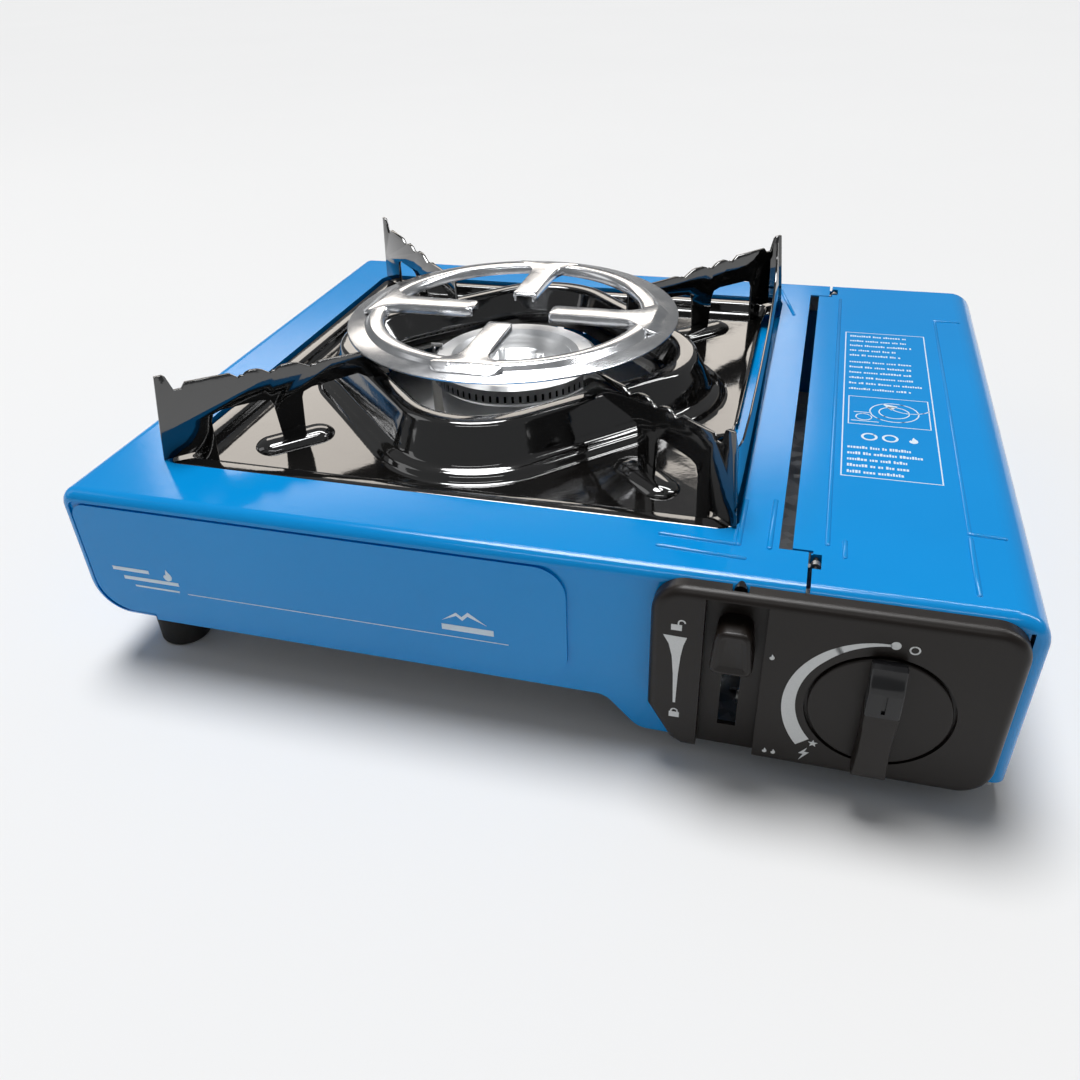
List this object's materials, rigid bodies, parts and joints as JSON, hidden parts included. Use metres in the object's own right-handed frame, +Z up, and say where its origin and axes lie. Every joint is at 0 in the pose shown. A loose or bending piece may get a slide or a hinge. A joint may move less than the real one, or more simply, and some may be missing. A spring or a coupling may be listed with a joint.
{
  "type": "camping stove",
  "caption": "Flat portable cassette stove: blue sheet housing, hinged cartridge lid, black pan support tray, ring burner, control panel with knob and lock lever.",
  "frame": {"origin": "under the middle of the bounding box, on the surface the feet stand on", "axes": "+X from the burner side to the cartridge side, +Y from the control side to the back, +Z up"},
  "size_m": [0.34, 0.29, 0.1106],
  "materials": {
    "blue_paint": "gloss",
    "galvanised": "satin",
    "bright_steel": "bright",
    "black_plastic": "satin",
    "gloss_black": "gloss",
    "enamel": "gloss enamel",
    "aluminium": "bright",
    "zinc": "cast",
    "brass": "machined",
    "rubber": "matte",
    "ceramic": "glazed",
    "lead_silicone": "matte"
  },
  "bodies": {
    "housing": {"back_panel": "blue_paint", "base_plate": "blue_paint", "burner_base": "aluminium", "burner_bowl": "aluminium", "burner_head": "aluminium", "burner_pan": "bright_steel", "burner_plate": "bright_steel", "cartridge_cradle": "galvanised", "control_panel": "black_plastic", "crank_pin": "galvanised", "electrode_tip": "galvanised", "foot_front_left": "rubber", "foot_front_right": "rubber", "foot_rear_left": "rubber", "foot_rear_right": "rubber", "foot_screws": "galvanised", "front_panel": "blue_paint", "gas_jet": "brass", "heat_barrier": "galvanised", "hinge_bracket_front": "galvanised", "hinge_bracket_rear": "galvanised", "hinge_pin_front": "galvanised", "hinge_pin_rear": "galvanised", "housing_shell": "blue_paint", "igniter_ceramic": "ceramic", "igniter_lead": "lead_silicone", "mixing_tube": "galvanised", "panel_screw": "galvanised", "piezo_igniter": "black_plastic", "regulator_body": "zinc", "regulator_cap": "zinc", "socket_collar": "galvanised", "socket_seal": "rubber", "valve_bonnet": "brass"},
    "lid": {"lid": "blue_paint"},
    "knob": {"knob_dial": "black_plastic", "knob_grip": "black_plastic", "knob_cap": "gloss_black", "valve_spindle": "brass"},
    "lever": {"lever_thumb": "black_plastic", "lock_slide": "galvanised"},
    "crank": {"lock_crank": "galvanised"},
    "pusher": {"cartridge_pusher": "galvanised"},
    "plunger": {"piezo_plunger": "black_plastic"},
    "tray": {"drip_tray": "enamel", "leg_front_left": "enamel", "leg_front_right": "enamel", "leg_rear_left": "enamel", "leg_rear_right": "enamel", "heat_shield": "enamel"},
    "ring": {"pot_ring": "aluminium"}
  },
  "joints": [
    {"name": "lid_hinge", "type": "hinge", "parent": "housing", "child": "lid", "pos_m": [0.1021, 0, 0.0752], "axis": [0, -1, 0], "range_deg": [0, 100]},
    {"name": "knob_turn", "type": "hinge", "parent": "housing", "child": "knob", "pos_m": [0.1263, -0.137, 0.0393], "axis": [0, -1, 0], "range_deg": [0, 140]},
    {"name": "lever_slide", "type": "slide", "parent": "housing", "child": "lever", "axis": [0, 0, -1], "range_m": [0, 0.028]},
    {"name": "crank_turn", "type": "hinge", "parent": "housing", "child": "crank", "pos_m": [0.0848, -0.116, 0.0175], "axis": [1, 0, 0], "range_deg": [0, 70]},
    {"name": "pusher_slide", "type": "slide", "parent": "housing", "child": "pusher", "axis": [0, -1, 0], "range_m": [0, 0.008]},
    {"name": "plunger_slide", "type": "slide", "parent": "housing", "child": "plunger", "axis": [1, 0, 0], "range_m": [0, 0.003], "stiffness_N_per_m": 400},
    {"name": "tray_lift", "type": "slide", "parent": "housing", "child": "tray", "axis": [0, 0, 1], "range_m": [0, 0.12]},
    {"name": "ring_lift", "type": "slide", "parent": "tray", "child": "ring", "axis": [0, 0, 1], "range_m": [0, 0.08]}
  ],
  "couplings": [
    {"joint": "crank_turn", "follows": "lever_slide", "rad_per_m": 43.6},
    {"joint": "pusher_slide", "follows": "lever_slide", "ratio": 0.2857}
  ]
}
